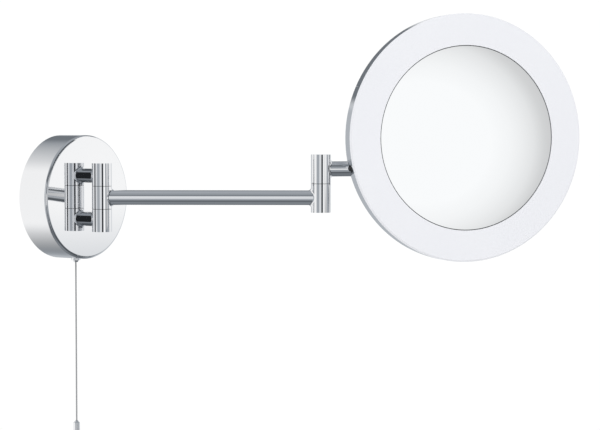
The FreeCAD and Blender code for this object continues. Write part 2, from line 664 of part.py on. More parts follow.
def make_cord():
    axis = ("0", "-cord_out")
    node("cord_inner", rod("cord_radius", "stem_end - nipple_mouth", axis + ("nipple_mouth",)))
    end = "pull_top - pull_floor - ferrule_length"
    node("pull_cord", rod("cord_radius", "nipple_mouth - (%s)" % end, axis + (end,)))
    node("cord_ferrule", tube("ferrule_radius", "cord_radius", "ferrule_length", axis + (end,)))
    handle = [
        ("cord_radius + cord_play", "pull_top"),
        ("pull_neck", "pull_top"),
        ("pull_radius", "pull_top - pull_cone"),
        ("pull_radius", "pull_top - pull_length + pull_bevel"),
        ("pull_radius - pull_bevel", "pull_top - pull_length"),
        ("pull_bore", "pull_top - pull_length"),
        ("pull_bore", "pull_top - pull_floor"),
        ("cord_radius + cord_play", "pull_top - pull_floor"),
    ]
    node("pull_handle", turned(handle, axis + ("0",)))


def make_arm():
    clear_split = "knuckle_split - seam_washer - running_gap"
    outlet = rod("lead_outlet", "barrel_radius", turn=ACROSS)
    middle = knuckle("barrel_radius", "bush_radius", "-(%s)" % clear_split, clear_split)
    node("middle_knuckle", cut(middle, outlet), ARM)
    bushes = []
    for height in (clear_split + " - bush_height", "-(%s)" % clear_split):
        bushes.append(tube("bush_radius", "pin_radius + running_gap", "bush_height", ("0", "0", height)))
    node("hinge_bushes", group(*bushes), ARM)
    bar = rod("arm_radius", "arm_reach", turn=ACROSS)
    near = rod("barrel_radius", "barrel_half", ("0", "0", "-barrel_half / 2"))
    far = rod("barrel_radius", "barrel_half", ("arm_reach", "0", "-barrel_half / 2"))
    bore = rod("tube_bore", "arm_reach", turn=ACROSS)
    node("arm_tube", cut(flared(bar, near, far), bore), ARM)
    lead = rod("lead_radius", "arm_reach - lead_start * 2", ("lead_start", "0", "0"), ACROSS)
    node("arm_lead", lead, ARM)


def make_elbow():
    axis = ("arm_reach", "0")
    lower = cut(
        knuckle("barrel_radius", "pin_radius", "-elbow_bottom", "elbow_seam - seam_washer", axis),
        rod("plug_radius", "plug_thick", axis + ("-elbow_bottom",)),
        rod("lead_outlet", "barrel_radius", ("arm_reach - barrel_radius", "0", "0"), ACROSS),
    )
    node("elbow_lower_knuckle", lower, ARM)
    pin_top = "elbow_top - plug_thick - 0.2"
    window_size = ("pin_radius", "pin_radius * 2", "pin_radius * 1.25")
    pin = cut(
        knuckle("pin_radius", "pin_bore", "-elbow_bottom + plug_thick", pin_top, axis),
        rod("lead_hole", "barrel_radius", ("arm_reach - barrel_radius", "0", "0"), ACROSS),
        block(window_size, ("arm_reach + pin_radius / 2", "0", "rod_rise")),
    )
    node("elbow_pin", pin, ARM)
    node("elbow_bottom_plug", rod("plug_radius", "plug_thick", axis + ("-elbow_bottom",)), ARM)
    washer_at = axis + ("elbow_seam - seam_washer",)
    node("elbow_washer", tube("barrel_radius - seam_inset", "pin_radius", "seam_washer", washer_at), ARM)


def make_link():
    upper = cut(
        knuckle("barrel_radius", "bush_radius", "elbow_seam + running_gap", "elbow_top"),
        rod("plug_radius", "plug_thick", ("0", "0", "elbow_top - plug_thick")),
        rod("lead_outlet", "barrel_radius", ("0", "0", "rod_rise"), ACROSS),
    )
    node("elbow_upper_knuckle", upper, LINK)
    bushes = []
    for height in ("elbow_seam + running_gap", "elbow_top - plug_thick - bush_height"):
        bushes.append(tube("bush_radius", "pin_radius + running_gap", "bush_height", ("0", "0", height)))
    node("elbow_bushes", group(*bushes), LINK)
    node("elbow_top_plug", rod("plug_radius", "plug_thick", ("0", "0", "elbow_top - plug_thick")), LINK)
    bar = rod("rod_radius", "rod_length", ("0", "0", "rod_rise"), ACROSS)
    barrel = rod("barrel_radius", "barrel_half", ("0", "0", "rod_rise - barrel_half / 2"))
    bore = rod("tube_bore", "rod_length", ("0", "0", "rod_rise"), ACROSS)
    groove_at = ("head_reach - friction_at - groove_width / 2", "0", "rod_rise")
    groove = tube("rod_radius + 1", "groove_radius", "groove_width", groove_at, ACROSS)
    node("mirror_rod", cut(flared(bar, barrel), bore, groove), LINK)
    lead = rod("lead_radius", "rod_length - lead_start - 2", ("lead_start", "0", "rod_rise"), ACROSS)
    node("rod_lead", lead, LINK)


def rod_way(radius, length):
    """A cylinder on the rod's axis, from outside the rim inwards, in the head's frame."""
    return rod(radius, length, ("-head_radius - 3", "-head_rise", "-rod_behind"), ACROSS)


def rim_slot():
    """The round-ended slot beside the rod, as deep as it takes to pass the rim band."""
    straight = ("12", "slot_half * 2", "slot_end + rod_behind")
    centre = ("-head_radius + 4", "-head_rise", "(slot_end - rod_behind) / 2")
    end = rod("slot_half", "12", ("-head_radius - 2", "-head_rise", "slot_end"), ACROSS)
    return fuse(block(straight, centre), end)


def make_rim():
    profile = [
        ("head_radius - band_lip", "0"),
        ("head_radius", "0"),
        ("head_radius", "band_depth"),
        ("head_radius - band_sheet", "band_depth"),
        ("head_radius - band_sheet", "band_sheet"),
        ("head_radius - band_lip", "band_sheet"),
    ]
    band = turned(profile)
    round_rim(band, dim("head_radius"), 0, "band_round")
    seam = block(("band_lip * 2", "seam_gap", "band_depth * 2"), ("0", "0", "0"))
    turn = FreeCAD.Rotation(Z_AXIS, 180 - dim("seam_angle"))
    seam_frame = group(seam)
    seam_frame.Placement = FreeCAD.Placement(turn.multVec(X_AXIS * dim("head_radius")), turn)
    node("rim_band", cut(band, rod_way("notch_radius", "16"), rim_slot(), seam_frame), HEAD)
    ring = tube("head_radius + 0.1", "head_radius - band_sheet", "band_depth")
    grommet = cut(common(rim_slot(), ring), rod_way("rod_radius + 0.25", "14"))
    node("pivot_grommet", grommet, HEAD)


def block_screw_places():
    places = []
    for along in ("-block_outer + block_screw_end", "-block_inner - block_screw_end"):
        for side in ("block_screw_side", "-block_screw_side"):
            places.append((along, "-head_rise + " + side))
    return places


def make_back_pan():
    pan_radius = "head_radius - band_sheet - pan_gap"
    profile = [
        ("0", "pan_back"),
        (pan_radius + " - pan_sheet", "pan_back"),
        (pan_radius + " - pan_sheet", "band_sheet + 0.1"),
        (pan_radius, "band_sheet + 0.1"),
        (pan_radius, "pan_back + pan_sheet"),
        ("0", "pan_back + pan_sheet"),
    ]
    holes = [rod_way("notch_radius", "16")]
    holes.append(rod("lead_hole", "pan_sheet", LEAD_EXIT + ("pan_back",)))
    for place in block_screw_places():
        holes.append(rod("block_screw_radius", "pan_sheet", place + ("pan_back",)))
    for angle in BOSS_ANGLES:
        holes.append(rod("pan_screw_radius", "pan_sheet", spot("boss_ring", angle) + ("pan_back",)))
    for index in range(VENT_COUNT):
        at = spot("vent_ring", (index + 0.5) * 360 / VENT_COUNT) + ("pan_back",)
        holes.append(rod("vent_radius", "pan_sheet", at))
    node("back_pan", cut(turned(profile), *holes), HEAD)


def make_tilt_block():
    length = "block_outer - block_inner"
    centre = ("-(block_outer + block_inner) / 2", "-head_rise", "(pan_back - block_back) / 2")
    body = block((length, "block_width", "pan_back + block_back"), centre)
    doc.recompute()
    edges = []
    for number, edge in enumerate(body.Shape.Edges, start=1):
        if edge.BoundBox.ZMin < dim("pan_back") - SAME:
            edges.append((number, dim("block_round"), dim("block_round")))
    rounded = doc.addObject("Part::Fillet", "Rounded")
    rounded.Base = body
    rounded.Edges = edges
    axis = ("-head_rise", "-rod_behind")
    bore_length = "block_outer - head_reach + rod_length + 1.4"
    tools = [
        rod("rod_radius + running_gap", bore_length, ("-block_outer - 1",) + axis, ACROSS),
        rod("tube_bore", "block_outer - block_inner - 3", ("-block_outer",) + axis, ACROSS),
        rod("lead_radius + 0.3", "pan_back + rod_behind + 1", LEAD_EXIT + ("-rod_behind",)),
        rod("block_screw_radius", "block_back", ("-friction_at", "-head_rise", "-block_back")),
    ]
    screws = []
    for place in block_screw_places():
        at = place + ("-block_back",)
        head = rod("block_screw_head", "block_head_sink", at)
        tools.append(rod("block_screw_radius", "pan_back + block_back + 1", at))
        tools.append(head)
        cross = fuse(
            block(("cross_length", "cross_width", "block_head_sink"), at),
            block(("cross_width", "cross_length", "block_head_sink"), at),
        )
        shank = rod("block_screw_radius", "pan_back + pan_sheet + block_back", at)
        screws.append(cut(fuse(shank, head), cross))
    node("tilt_block", cut(rounded, *tools), HEAD)
    node("block_screws", group(*screws), HEAD)
    reach = "block_back - rod_behind - groove_radius - running_gap - friction_sink"
    screw_at = ("-friction_at", "-head_rise", "-block_back + friction_sink")
    socket = hexagon("friction_socket", "friction_socket_depth", screw_at)
    node("friction_screw", cut(rod("block_screw_radius", reach, screw_at), socket), HEAD)


def make_lamp():
    front = "pan_back + pan_sheet"
    holes = [rod("lead_hole", "board_thick", LEAD_EXIT + (front,))]
    bosses = []
    boss_holes = []
    screws = []
    top = front + " + board_thick"
    rise = "plate_back - (%s)" % top
    for angle in BOSS_ANGLES:
        place = spot("boss_ring", angle)
        holes.append(rod("pan_screw_radius + 0.2", "board_thick", place + (front,)))
        bosses.append(rod("boss_radius", rise, place + (top,)))
        boss_holes.append(rod("pan_screw_radius", rise, place + (top,)))
        under = place + ("pan_back - pan_head_height",)
        head = rod("pan_screw_head", "pan_head_height", under)
        shank = rod("pan_screw_radius", "plate_back - pan_back - 0.3", place + ("pan_back",))
        slot = block(("pan_screw_head * 2", "cross_width", "pan_slot_depth"), under)
        screws.append(cut(fuse(head, shank), slot))
    board = tube("board_outer", "board_inner", "board_thick", ("0", "0", front))
    node("led_board", cut(board, *holes), HEAD)
    ring = tube("wall_ring_outer", "wall_ring_inner", rise, ("0", "0", top))
    node("light_wall", cut(fuse(ring, *bosses), *boss_holes), HEAD)
    node("pan_screws", group(*screws), HEAD)
    emitters = []
    for index in range(LED_COUNT):
        turn = FreeCAD.Rotation(Z_AXIS, index * 360 / LED_COUNT)
        chip_at = ("led_ring", "0", top + " + led_thick / 2")
        chip = block(("led_depth", "led_width", "led_thick"), chip_at)
        spoke = group(chip)
        spoke.Placement = FreeCAD.Placement(FreeCAD.Vector(), turn)
        emitters.append(spoke)
    node("leds", group(*emitters), HEAD)


def make_front():
    inside = "head_radius - band_sheet - plate_fit"
    profile = [
        ("ledge_inner", "plate_back"),
        (inside, "plate_back"),
        (inside, "band_depth"),
        ("head_radius", "band_depth"),
        ("head_radius", "plate_front - plate_bevel"),
        ("head_radius - plate_bevel", "plate_front"),
        ("mirror_radius + mirror_gap", "plate_front"),
        ("mirror_radius + mirror_gap", "ledge_front"),
        ("ledge_inner", "ledge_front"),
    ]
    node("diffuser_ring", turned(profile), HEAD)
    sag = dim("mirror_curve") - math.sqrt(dim("mirror_curve") ** 2 - dim("mirror_radius") ** 2)
    middle = "mirror_edge - %.9f" % sag
    centre = ("0", "0", middle + " + mirror_curve")
    disc = rod("mirror_radius", "mirror_edge - pan_back - pan_sheet", ("0", "0", "pan_back + pan_sheet"))
    glass = cut(common(disc, ball("mirror_curve + mirror_thick", centre)), ball("mirror_curve", centre))
    node("mirror_glass", glass, HEAD)
    foam_at = ("0", "0", "pan_back + pan_sheet")
    node("mirror_pad", rod("pad_radius", "pad_front - pan_back - pan_sheet", foam_at), HEAD)


def check_and_export():
    doc.recompute()
    for item in doc.Objects:
        if "Invalid" in item.State or "Error" in item.State:
            raise RuntimeError("failed feature: %s (%s)" % (item.Label, item.Name))
    os.makedirs("parts", exist_ok=True)
    for name, item in nodes.items():
        shape = item.Shape
        if shape.isNull() or not shape.isValid() or not shape.Solids:
            raise RuntimeError("bad shape: " + name)
        shape.exportStep("parts/%s.step" % name)
    print("sub-parts written:", len(nodes))
    print("hinge axis", tuple(hinge_axis))
    print("elbow axis", tuple(elbow_axis))
    print("rod direction", tuple(along_rod))
    print("head centre", tuple(head_centre))


make_wall_plate()
make_rose_cover()
make_backing_plate()
make_post("upper_post", "post_rise")
make_post("lower_post", "-post_rise")
make_post_fixings()
make_wall_hinge()
make_driver()
make_terminals()
make_switch()
make_rotor()
make_slider()
make_cord()
make_arm()
make_elbow()
make_link()
make_rim()
make_back_pan()
make_tilt_block()
make_lamp()
make_front()
check_and_export()
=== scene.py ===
"""Looks of the wall-held lit shaving mirror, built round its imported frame.

The row frame: +Z up, the wall is the plane Y = 0, the room is towards -Y. Lengths are in metres.
"""

import json
import math

import bpy
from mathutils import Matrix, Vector


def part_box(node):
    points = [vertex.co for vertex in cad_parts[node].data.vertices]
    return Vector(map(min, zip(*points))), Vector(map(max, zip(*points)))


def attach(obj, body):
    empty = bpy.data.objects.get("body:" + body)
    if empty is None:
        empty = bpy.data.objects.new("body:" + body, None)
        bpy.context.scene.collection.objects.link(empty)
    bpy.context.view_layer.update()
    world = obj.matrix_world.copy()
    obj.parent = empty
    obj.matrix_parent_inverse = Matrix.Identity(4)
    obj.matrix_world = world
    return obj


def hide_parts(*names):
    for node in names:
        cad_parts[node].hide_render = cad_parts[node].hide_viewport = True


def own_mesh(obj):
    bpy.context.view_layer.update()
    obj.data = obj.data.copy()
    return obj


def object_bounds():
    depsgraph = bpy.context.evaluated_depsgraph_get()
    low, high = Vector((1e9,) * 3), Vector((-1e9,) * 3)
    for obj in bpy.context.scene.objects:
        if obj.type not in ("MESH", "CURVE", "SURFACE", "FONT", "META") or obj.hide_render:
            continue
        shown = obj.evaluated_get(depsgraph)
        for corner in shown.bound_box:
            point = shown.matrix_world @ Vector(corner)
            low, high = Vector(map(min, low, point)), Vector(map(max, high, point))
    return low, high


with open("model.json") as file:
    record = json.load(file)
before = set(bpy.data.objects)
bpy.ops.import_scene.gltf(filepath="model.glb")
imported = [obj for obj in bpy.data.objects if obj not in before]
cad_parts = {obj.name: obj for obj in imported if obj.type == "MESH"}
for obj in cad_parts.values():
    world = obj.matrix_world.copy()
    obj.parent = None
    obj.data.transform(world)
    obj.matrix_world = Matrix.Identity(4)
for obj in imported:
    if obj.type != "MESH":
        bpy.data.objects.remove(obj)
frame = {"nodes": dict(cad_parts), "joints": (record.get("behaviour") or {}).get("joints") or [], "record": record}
NODES = frame["nodes"]
cad_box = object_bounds()

# The photograph's view: angles, distance, and where it aims, measured from the wall hinge's axis
VIEW_AZIMUTH = math.radians(-55.35)
VIEW_ELEVATION = math.radians(2.75)
VIEW_DISTANCE = 1.5
VIEW_WIDTH = 0.4824     # width that the picture takes in at that distance
AIM_RIGHT = 0.15915
AIM_DOWN = 0.0141
SENSOR_MILLIMETRES = 36.0

CORD_DIAMETER = 0.0012
CORD_RESOLUTION = 6

# The floor is a round pale sheet that fades into the white backdrop between two shares of its radius
FLOOR_DROP = 0.25
FLOOR_RADIUS = 1.5
FLOOR_FADE_START = 0.35
FLOOR_FADE_END = 0.97
FLOOR_SIDES = 96

# The studio that the chrome reflects, as panels round it. Azimuth is from the camera's side of the
# object, positive to its right; elevation is above the horizon. Each panel has its left, right,
# lower and upper bound, each with the softness of that edge, in degrees, and its brightness.
STUDIO = [
    ("big_softbox_left", (-137, 50), (-56, 8), (-47, 30), (47, 30), 1.00),
    ("wall_behind", (-178, 6), (-138, 6), (-25, 4), (10, 4), 0.50),
    ("dark_screen_behind", (-178, 6), (-138, 6), (11, 4), (28, 8), 0.19),
    ("grey_screen_left", (-51, 4), (-20, 4), (-40, 8), (26, 8), 0.43),
    ("strip_left_of_camera", (-17, 3), (2, 3), (-14, 6), (19, 6), 0.80),
    ("black_flag", (4, 2), (20, 2), (-52, 4), (46, 4), 0.02),
    ("grey_screen_beside_strip", (20, 3), (46, 3), (-26, 6), (22, 6), 0.38),
    ("strip_right_of_camera", (24, 4), (44, 4), (-9, 3), (3, 3), 1.04),
    ("grey_screen_right", (48, 3), (70, 3), (-10, 4), (9, 4), 0.28),
    ("pale_screen_right", (70, 4), (94, 4), (-10, 4), (9, 4), 0.42),
    ("dark_ceiling_right", (44, 6), (112, 6), (12, 6), (52, 6), 0.10),
    ("dark_floor_right", (44, 6), (112, 6), (-52, 6), (-12, 6), 0.10),
    ("softbox_right", (98, 4), (128, 4), (-3.4, 2.5), (44, 2.5), 1.04),
    ("pale_screen_far_right", (132, 6), (168, 6), (-34, 6), (30, 6), 0.78),
]
# Brightness of the rest of the studio by elevation, from straight down to straight up
SURROUND = [
    (-90, 0.32), (-69, 0.19), (-50, 0.14), (-33, 0.35), (-17, 0.55), (-4, 0.78), (16, 0.80),
    (20, 0.68), (26, 0.20), (31, 0.20), (40, 0.32), (65, 0.37), (83, 0.44), (90, 0.34),
]
GREY_TINT = 0.11        # how far the studio's darkest greys lose red
BLUE_SHARE = 1.2        # how much blue they gain for that
EVEN_LIGHT = 0.89       # what matt surfaces get from all round
BACKDROP = 1.02         # what the camera sees behind the object

# Two soft lamps that no reflection shows: name, place and power in watts
LAMP_SIZE = 0.9
LAMPS = [
    ("key_light", (-0.9, -1.2, 1.1), 5.0),
    ("back_light", (0.9, 0.9, 0.9), 3.0),
]

# The white card that the round mirror looks into, and its fall-off by distance from its bright spot
CARD_DISTANCE = 0.25
CARD_SIZE = 0.17
CARD_GLOW = 1.013
CARD_TINT = 0.005
CARD_SPOT = (0.49, 0.544)
CARD_FALL = [(0.20, 1.0), (0.26, 0.946), (0.295, 0.887), (0.33, 0.81), (0.366, 0.67), (0.40, 0.62)]

# The round mirror: a concave glass with a ground edge
MIRROR_CURVE = 1.0
MIRROR_BEVEL = 0.0004
MIRROR_STEPS = 192
MIRROR_RINGS = 24
MIRROR_EDGE_BANDS = 2


def centre(node):
    low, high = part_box(node)
    return (low + high) / 2


def joint(name):
    return next(found for found in frame["joints"] if found["name"] == name)


def add_object(name, data):
    made = bpy.data.objects.new(name, data)
    bpy.context.scene.collection.objects.link(made)
    return made


# ---------------------------------------------------------------- camera

def direction_to_camera():
    flat = math.cos(VIEW_ELEVATION)
    return Vector((math.sin(VIEW_AZIMUTH) * flat, -math.cos(VIEW_AZIMUTH) * flat, math.sin(VIEW_ELEVATION)))


def make_camera():
    hinge = centre("hinge_pin")
    across = Vector((math.cos(VIEW_AZIMUTH), math.sin(VIEW_AZIMUTH), 0))
    aim = Vector((hinge.x, hinge.y, 0)) + across * AIM_RIGHT - Vector((0, 0, AIM_DOWN))
    data = bpy.data.cameras.new("photo_camera")
    data.sensor_width = SENSOR_MILLIMETRES
    data.lens = SENSOR_MILLIMETRES * VIEW_DISTANCE / VIEW_WIDTH
    camera = add_object("photo_camera", data)
    camera.location = aim + direction_to_camera() * VIEW_DISTANCE
    camera.rotation_mode = "QUATERNION"
    camera.rotation_quaternion = (-direction_to_camera()).to_track_quat("-Z", "Y")
    bpy.context.scene.camera = camera


make_camera()


# ---------------------------------------------------------------- material helpers

def plug(tree, socket, value):
    """Another node's output is linked to the socket; anything else becomes its own value."""
    if hasattr(value, "is_linked"):
        tree.links.new(value, socket)
    else:
        socket.default_value = value


def fill_ramp(ramp, stops):
    """The stops of a colour ramp: each is a position and a colour with its alpha."""
    keys = ramp.color_ramp.elements
    while len(keys) < len(stops):
        keys.new(0.5)
    for key, (position, colour) in zip(keys, stops):
        key.position = position
        key.color = colour


class Look:
    """A material with one Principled shader, and short calls for the nodes that feed it."""

    def __init__(self, name, colour, metallic=0.0, roughness=0.5, **sockets):
        self.material = bpy.data.materials.new(name)
        self.material.use_nodes = True
        self.tree = self.material.node_tree
        self.shader = self.tree.nodes["Principled BSDF"]
        self.set("Base Color", (*colour, 1))
        self.set("Metallic", metallic)
        self.set("Roughness", roughness)
        for socket, amount in sockets.items():
            self.set(socket.replace("_", " "), amount)
        self.place = self.node("ShaderNodeTexCoord").outputs["Object"]

    def set(self, socket, amount):
        self.shader.inputs[socket].default_value = amount

    def node(self, kind, **settings):
        made = self.tree.nodes.new(kind)
        for setting, choice in settings.items():
            setattr(made, setting, choice)
        return made

    def link(self, source, target):
        self.tree.links.new(source, target)

    def feed(self, made, **inputs):
        for name, amount in inputs.items():
            plug(self.tree, made.inputs[name.replace("_", " ")], amount)
        return made

    def noise(self, scale, detail=3.0, stretch=(1, 1, 1), rough=0.5):
        moved = self.feed(self.node("ShaderNodeMapping"), Vector=self.place, Scale=stretch)
        texture = self.feed(self.node("ShaderNodeTexNoise"), Scale=scale, Detail=detail, Roughness=rough)
        self.link(moved.outputs["Vector"], texture.inputs["Vector"])
        return texture.outputs["Fac"]

    def spread(self, value, low, high, start=0.3, stop=0.7):
        """A texture value between start and stop, turned into a number from low to high."""
        made = self.feed(self.node("ShaderNodeMapRange"), Value=value)
        made.inputs["From Min"].default_value = start
        made.inputs["From Max"].default_value = stop
        made.inputs["To Min"].default_value = low
        made.inputs["To Max"].default_value = high
        return made.outputs["Result"]

    def shades(self, value, *stops):
        """A colour ramp: each stop is a position and a colour."""
        ramp = self.node("ShaderNodeValToRGB")
        self.link(value, ramp.inputs["Fac"])
        fill_ramp(ramp, [(position, (*colour, 1)) for position, colour in stops])
        return ramp.outputs["Color"]

    def into(self, socket, value):
        """Feeds one of the shader's own sockets."""
        self.link(value, self.shader.inputs[socket])

    def bump(self, height, strength, distance):
        made = self.feed(self.node("ShaderNodeBump"), Height=height, Strength=strength, Distance=distance)
        self.into("Normal", made.outputs["Normal"])


def darker(colour, share):
    return tuple(part * share for part in colour)


# ---------------------------------------------------------------- materials

def chrome(name, colour=(0.875, 0.88, 0.89), haze=0.03):
    """Polished plating with a faint haze, wiping marks and a trace of unevenness."""
    look = Look(name, colour, metallic=1.0, roughness=haze)
    smudges = look.noise(28, detail=4)
    look.into("Roughness", look.spread(smudges, haze * 0.5, haze * 1.7))
    tone = look.noise(9, detail=2)
    look.into("Base Color", look.shades(tone, (0.35, darker(colour, 0.975)), (0.65, colour)))
    look.bump(look.noise(420, detail=2), 0.015, 0.00005)
    return look


def plated_steel(name, colour, roughness=0.32):
    """Zinc-plated or bare metal with drawn lines along Z."""
    look = Look(name, colour, metallic=1.0, roughness=roughness)
    lines = look.noise(60, detail=5, stretch=(1, 1, 14))
    look.into("Roughness", look.spread(lines, roughness * 0.75, roughness * 1.25))
    tone = look.noise(35, detail=4)
    look.into("Base Color", look.shades(tone, (0.3, darker(colour, 0.85)), (0.7, colour)))
    look.bump(lines, 0.08, 0.0001)
    return look


def powder_coat(name, colour, roughness=0.42):
    """Satin metallic coating: fine grain and flakes."""
    look = Look(name, colour, metallic=0.55, roughness=roughness)
    grain = look.noise(1500, detail=2)
    look.into("Roughness", look.spread(grain, roughness * 0.85, roughness * 1.2))
    flakes = look.noise(5200, detail=1)
    look.into("Base Color", look.shades(flakes, (0.35, darker(colour, 0.88)), (0.7, colour)))
    look.bump(grain, 0.18, 0.0002)
    return look


def moulded(name, colour, roughness=0.38, depth=0.1):
    """Plastic, rubber or foam with an even fine grain."""
    look = Look(name, colour, roughness=roughness)
    grain = look.noise(900, detail=3)
    look.into("Roughness", look.spread(grain, roughness * 0.85, roughness * 1.15))
    tone = look.noise(40, detail=3)
    look.into("Base Color", look.shades(tone, (0.3, darker(colour, 0.95)), (0.7, colour)))
    look.bump(grain, depth, 0.0001)
    return look


def light_ring():
    """Frosted white acrylic in front of the lamps."""
    look = Look("frosted_acrylic", (0.86, 0.87, 0.905), roughness=0.34, IOR=1.49)
    cloud = look.noise(14, detail=2)
    look.into("Base Color", look.shades(cloud, (0.3, (0.85, 0.86, 0.9)), (0.7, (0.865, 0.875, 0.91))))
    frost = look.noise(2600, detail=2)
    look.into("Roughness", look.spread(frost, 0.30, 0.40))
    look.bump(frost, 0.05, 0.0001)
    return look


def silvered_glass():
    """A clear mirror with a trace of dust, under its glass."""
    look = Look("silvered_glass", (0.93, 0.94, 0.945), metallic=1.0, roughness=0.01)
    dust = look.noise(130, detail=6)
    look.into("Roughness", look.spread(dust, 0.004, 0.02, 0.45, 0.75))
    look.set("Coat Weight", 0.5)
    look.set("Coat Roughness", 0.01)
    return look


def emitter():
    """The lamps' yellow phosphor, faintly lit."""
    look = Look("phosphor", (0.95, 0.9, 0.55), roughness=0.3)
    tone = look.noise(900)
    look.into("Base Color", look.shades(tone, (0.3, (0.9, 0.84, 0.45)), (0.7, (0.97, 0.92, 0.6))))
    look.set("Emission Color", (1.0, 0.97, 0.9, 1))
    look.set("Emission Strength", 1.5)
    return look


def braid():
    """Fine silver-grey cord: small diagonal threads both ways round it."""
    look = Look("braided_cord", (0.36, 0.37, 0.38), roughness=0.55)
    threads = look.node("ShaderNodeTexWave", wave_type="BANDS", bands_direction="DIAGONAL")
    look.feed(threads, Vector=look.place, Scale=900.0, Distortion=1.5, Detail=2.0)
    look.into("Base Color", look.shades(
        threads.outputs["Fac"], (0.1, (0.27, 0.275, 0.285)), (0.7, (0.36, 0.37, 0.38))))
    look.bump(threads.outputs["Fac"], 0.25, 0.0001)
    return look


def dress():
    """Every CAD node's material, by the record's material slots."""
    looks = {
        "chrome": chrome("polished_chrome"),
        "chrome_head": chrome("rim_chrome", haze=0.045),
        "steel": plated_steel("zinc_plated_sheet", (0.60, 0.61, 0.63)),
        "back_panel": powder_coat("satin_silver_coat", (0.72, 0.73, 0.745)),
        "cast_block": powder_coat("coated_casting", (0.62, 0.63, 0.65), roughness=0.36),
        "fixings": plated_steel("bright_zinc", (0.66, 0.67, 0.70), roughness=0.22),
        "brass": plated_steel("bare_brass", (0.78, 0.58, 0.26), roughness=0.25),
        "spring_steel": plated_steel("spring_wire", (0.58, 0.58, 0.60), roughness=0.2),
        "black_rubber": moulded("black_rubber", (0.012, 0.012, 0.013), roughness=0.5, depth=0.25),
        "seal_foam": moulded("closed_cell_foam", (0.05, 0.05, 0.055), roughness=0.8, depth=0.5),
        "white_plastic": moulded("white_plastic", (0.82, 0.82, 0.80)),
        "black_plastic": moulded("black_plastic", (0.02, 0.02, 0.022)),
        "bush_plastic": moulded("natural_acetal", (0.78, 0.77, 0.72)),
        "cable": moulded("white_sheath", (0.80, 0.80, 0.79)),
        "cord": braid(),
        "board": moulded("lamp_board", (0.84, 0.85, 0.86), roughness=0.3),
        "led": emitter(),
        "light_ring": light_ring(),
        "mirror": silvered_glass(),
        # The mirror's side wall and bevel are near black: painted shade for the shadowed gap between the glass and
        # the lit ring.
        "mirror_edge": moulded("painted_gap_shade_edge", (0.10, 0.11, 0.115), roughness=0.45),
    }
    for part in frame["record"]["subparts"]:
        materials = NODES[part["node"]].data.materials
        materials.clear()
        materials.append(looks[part["material_slot"]].material)
    return looks


looks = dress()


# ---------------------------------------------------------------- round mirror

def head_facing():
    """The way the mirror faces: level, and square to the axis that the head tilts about."""
    return Vector(joint("head_tilt")["axis"]).cross(Vector((0, 0, 1))).normalized()


def bowl_height(distance):
    """Height of the concave face above its lowest point, at a distance from its middle."""
    return MIRROR_CURVE - math.sqrt(MIRROR_CURVE ** 2 - distance ** 2)


def mirror_outline(radius, front, back):
    """Half the glass's section, as distance from its middle and height, without the two middle points."""
    inner = radius - MIRROR_BEVEL
    lowest = front - MIRROR_BEVEL / 2 - bowl_height(inner)
    outline = [(radius, back), (radius, front - MIRROR_BEVEL), (inner, front - MIRROR_BEVEL / 2)]
    for step in range(MIRROR_RINGS):
        distance = inner * (1 - step / MIRROR_RINGS)
        outline.append((distance, lowest + bowl_height(distance)))
    return outline, lowest


def mirror_faces(rings):
    """Bands between the rings, then a fan to the front's middle point and one to the back's.

    No band joins the edge's last ring to the bowl's first. They lie on each other, and stay apart so
    that the bowl's smooth shading doesn't run round its rim."""
    faces = []
    for ring in range(rings - 1):
        if ring == MIRROR_EDGE_BANDS:
            continue
        for step in range(MIRROR_STEPS):
            after = (step + 1) % MIRROR_STEPS
            first, second = ring * MIRROR_STEPS, (ring + 1) * MIRROR_STEPS
            faces.append((first + step, first + after, second + after, second + step))
    last = (rings - 1) * MIRROR_STEPS
    front_middle = rings * MIRROR_STEPS
    for step in range(MIRROR_STEPS):
        faces.append((last + step, last + (step + 1) % MIRROR_STEPS, front_middle))
    for step in range(MIRROR_STEPS):
        faces.append(((step + 1) % MIRROR_STEPS, step, front_middle + 1))
    return faces


def make_mirror():
    """The concave glass, turned from its edge to its middle, so that it reflects cleanly."""
    glass = NODES["mirror_glass"]
    facing = head_facing()
    up = Vector((0, 0, 1))
    side = up.cross(facing)
    middle = centre("mirror_glass")
    depths = [(glass.matrix_world @ corner.co - middle).dot(facing) for corner in glass.data.vertices]
    back = min(depths)
    low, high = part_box("mirror_glass")
    outline, lowest = mirror_outline((high.z - low.z) / 2, max(depths), back)
    points = []
    for distance, height in outline:
        for step in range(MIRROR_STEPS):
            turn = 2 * math.pi * step / MIRROR_STEPS
            flat = side * math.cos(turn) + up * math.sin(turn)
            points.append(middle + flat * distance + facing * height)
    points.append(middle + facing * lowest)
    points.append(middle + facing * back)
    faces = mirror_faces(len(outline))
    mesh = bpy.data.meshes.new("concave_mirror")
    mesh.from_pydata([tuple(point) for point in points], [], faces)
    mesh.materials.append(looks["mirror"].material)
    mesh.materials.append(looks["mirror_edge"].material)
    # The edge bands and the back take the near-black edge material, which paints the shade of the gap round the
    # glass.
    edge_faces = MIRROR_EDGE_BANDS * MIRROR_STEPS
    back_start = len(faces) - MIRROR_STEPS
    for index, face in enumerate(mesh.polygons):
        face.use_smooth = True
        face.material_index = 1 if index < edge_faces or index >= back_start else 0
    mirror = add_object("concave_mirror", mesh)
    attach(mirror, "head")
    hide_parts("mirror_glass")


make_mirror()


# ---------------------------------------------------------------- return spring

def make_spring():
    """A copy of the return spring with its own mesh, carried with the pull."""
    coil = add_object("squeezed_spring", NODES["return_spring"].data.copy())
    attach(coil, "pull")
    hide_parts("return_spring")
    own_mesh(coil)


make_spring()


# ---------------------------------------------------------------- pull cord

